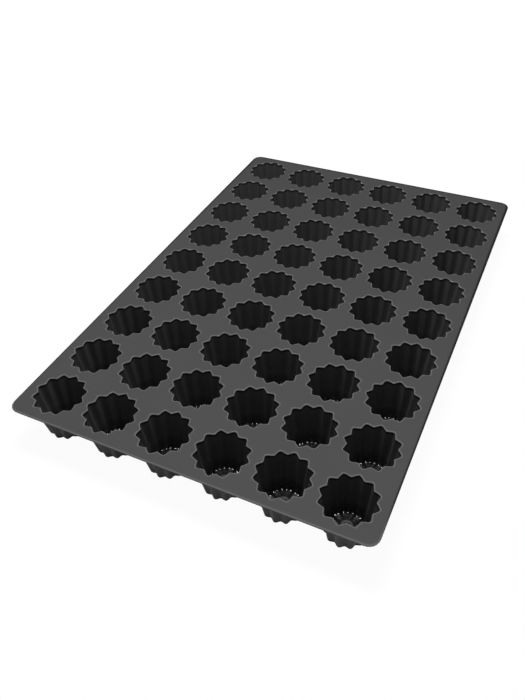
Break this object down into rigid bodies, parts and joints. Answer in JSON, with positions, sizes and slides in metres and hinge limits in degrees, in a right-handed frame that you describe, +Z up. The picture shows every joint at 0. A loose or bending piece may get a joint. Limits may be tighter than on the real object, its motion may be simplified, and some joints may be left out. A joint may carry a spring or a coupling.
{
  "type": "silicone canele mould",
  "caption": "Flexible dark grey silicone baking mould: a thin rectangular sheet with rounded corners and a grid of deep fluted cups, which bends along the webs between its columns.",
  "frame": {"origin": "on the surface that the cups stand on, under the middle of the sheet", "axes": "+X along the short side, from column a to column f; +Y along the long side, from the front row to the back row; +Z up, out of the cups' mouths"},
  "size_m": [0.4, 0.6, 0.05],
  "materials": {
    "sheet_silicone": "matte",
    "cup_silicone": "satin"
  },
  "bodies": {
    "column_a": {"sheet_strip_a": "sheet_silicone", "cup_a1": "cup_silicone", "cup_a2": "cup_silicone", "cup_a3": "cup_silicone", "cup_a4": "cup_silicone", "cup_a5": "cup_silicone", "cup_a6": "cup_silicone", "cup_a7": "cup_silicone", "cup_a8": "cup_silicone", "cup_a9": "cup_silicone"},
    "column_b": {"sheet_strip_b": "sheet_silicone", "cup_b1": "cup_silicone", "cup_b2": "cup_silicone", "cup_b3": "cup_silicone", "cup_b4": "cup_silicone", "cup_b5": "cup_silicone", "cup_b6": "cup_silicone", "cup_b7": "cup_silicone", "cup_b8": "cup_silicone", "cup_b9": "cup_silicone"},
    "column_c": {"sheet_strip_c": "sheet_silicone", "cup_c1": "cup_silicone", "cup_c2": "cup_silicone", "cup_c3": "cup_silicone", "cup_c4": "cup_silicone", "cup_c5": "cup_silicone", "cup_c6": "cup_silicone", "cup_c7": "cup_silicone", "cup_c8": "cup_silicone", "cup_c9": "cup_silicone"},
    "column_d": {"sheet_strip_d": "sheet_silicone", "cup_d1": "cup_silicone", "cup_d2": "cup_silicone", "cup_d3": "cup_silicone", "cup_d4": "cup_silicone", "cup_d5": "cup_silicone", "cup_d6": "cup_silicone", "cup_d7": "cup_silicone", "cup_d8": "cup_silicone", "cup_d9": "cup_silicone"},
    "column_e": {"sheet_strip_e": "sheet_silicone", "cup_e1": "cup_silicone", "cup_e2": "cup_silicone", "cup_e3": "cup_silicone", "cup_e4": "cup_silicone", "cup_e5": "cup_silicone", "cup_e6": "cup_silicone", "cup_e7": "cup_silicone", "cup_e8": "cup_silicone", "cup_e9": "cup_silicone"},
    "column_f": {"sheet_strip_f": "sheet_silicone", "cup_f1": "cup_silicone", "cup_f2": "cup_silicone", "cup_f3": "cup_silicone", "cup_f4": "cup_silicone", "cup_f5": "cup_silicone", "cup_f6": "cup_silicone", "cup_f7": "cup_silicone", "cup_f8": "cup_silicone", "cup_f9": "cup_silicone"}
  },
  "joints": [
    {"name": "flex_ab", "type": "hinge", "parent": "column_b", "child": "column_a", "pos_m": [-0.1292, 0, 0.049], "axis": [0, 1, 0], "range_deg": [-20, 45], "stiffness_Nm_per_rad": 0.1},
    {"name": "flex_bc", "type": "hinge", "parent": "column_c", "child": "column_b", "pos_m": [-0.0646, 0, 0.049], "axis": [0, 1, 0], "range_deg": [-20, 45], "stiffness_Nm_per_rad": 0.1},
    {"name": "flex_cd", "type": "hinge", "parent": "column_c", "child": "column_d", "pos_m": [0, 0, 0.049], "axis": [0, -1, 0], "range_deg": [-20, 45], "stiffness_Nm_per_rad": 0.1},
    {"name": "flex_de", "type": "hinge", "parent": "column_d", "child": "column_e", "pos_m": [0.0646, 0, 0.049], "axis": [0, -1, 0], "range_deg": [-20, 45], "stiffness_Nm_per_rad": 0.1},
    {"name": "flex_ef", "type": "hinge", "parent": "column_e", "child": "column_f", "pos_m": [0.1292, 0, 0.049], "axis": [0, -1, 0], "range_deg": [-20, 45], "stiffness_Nm_per_rad": 0.1}
  ]
}
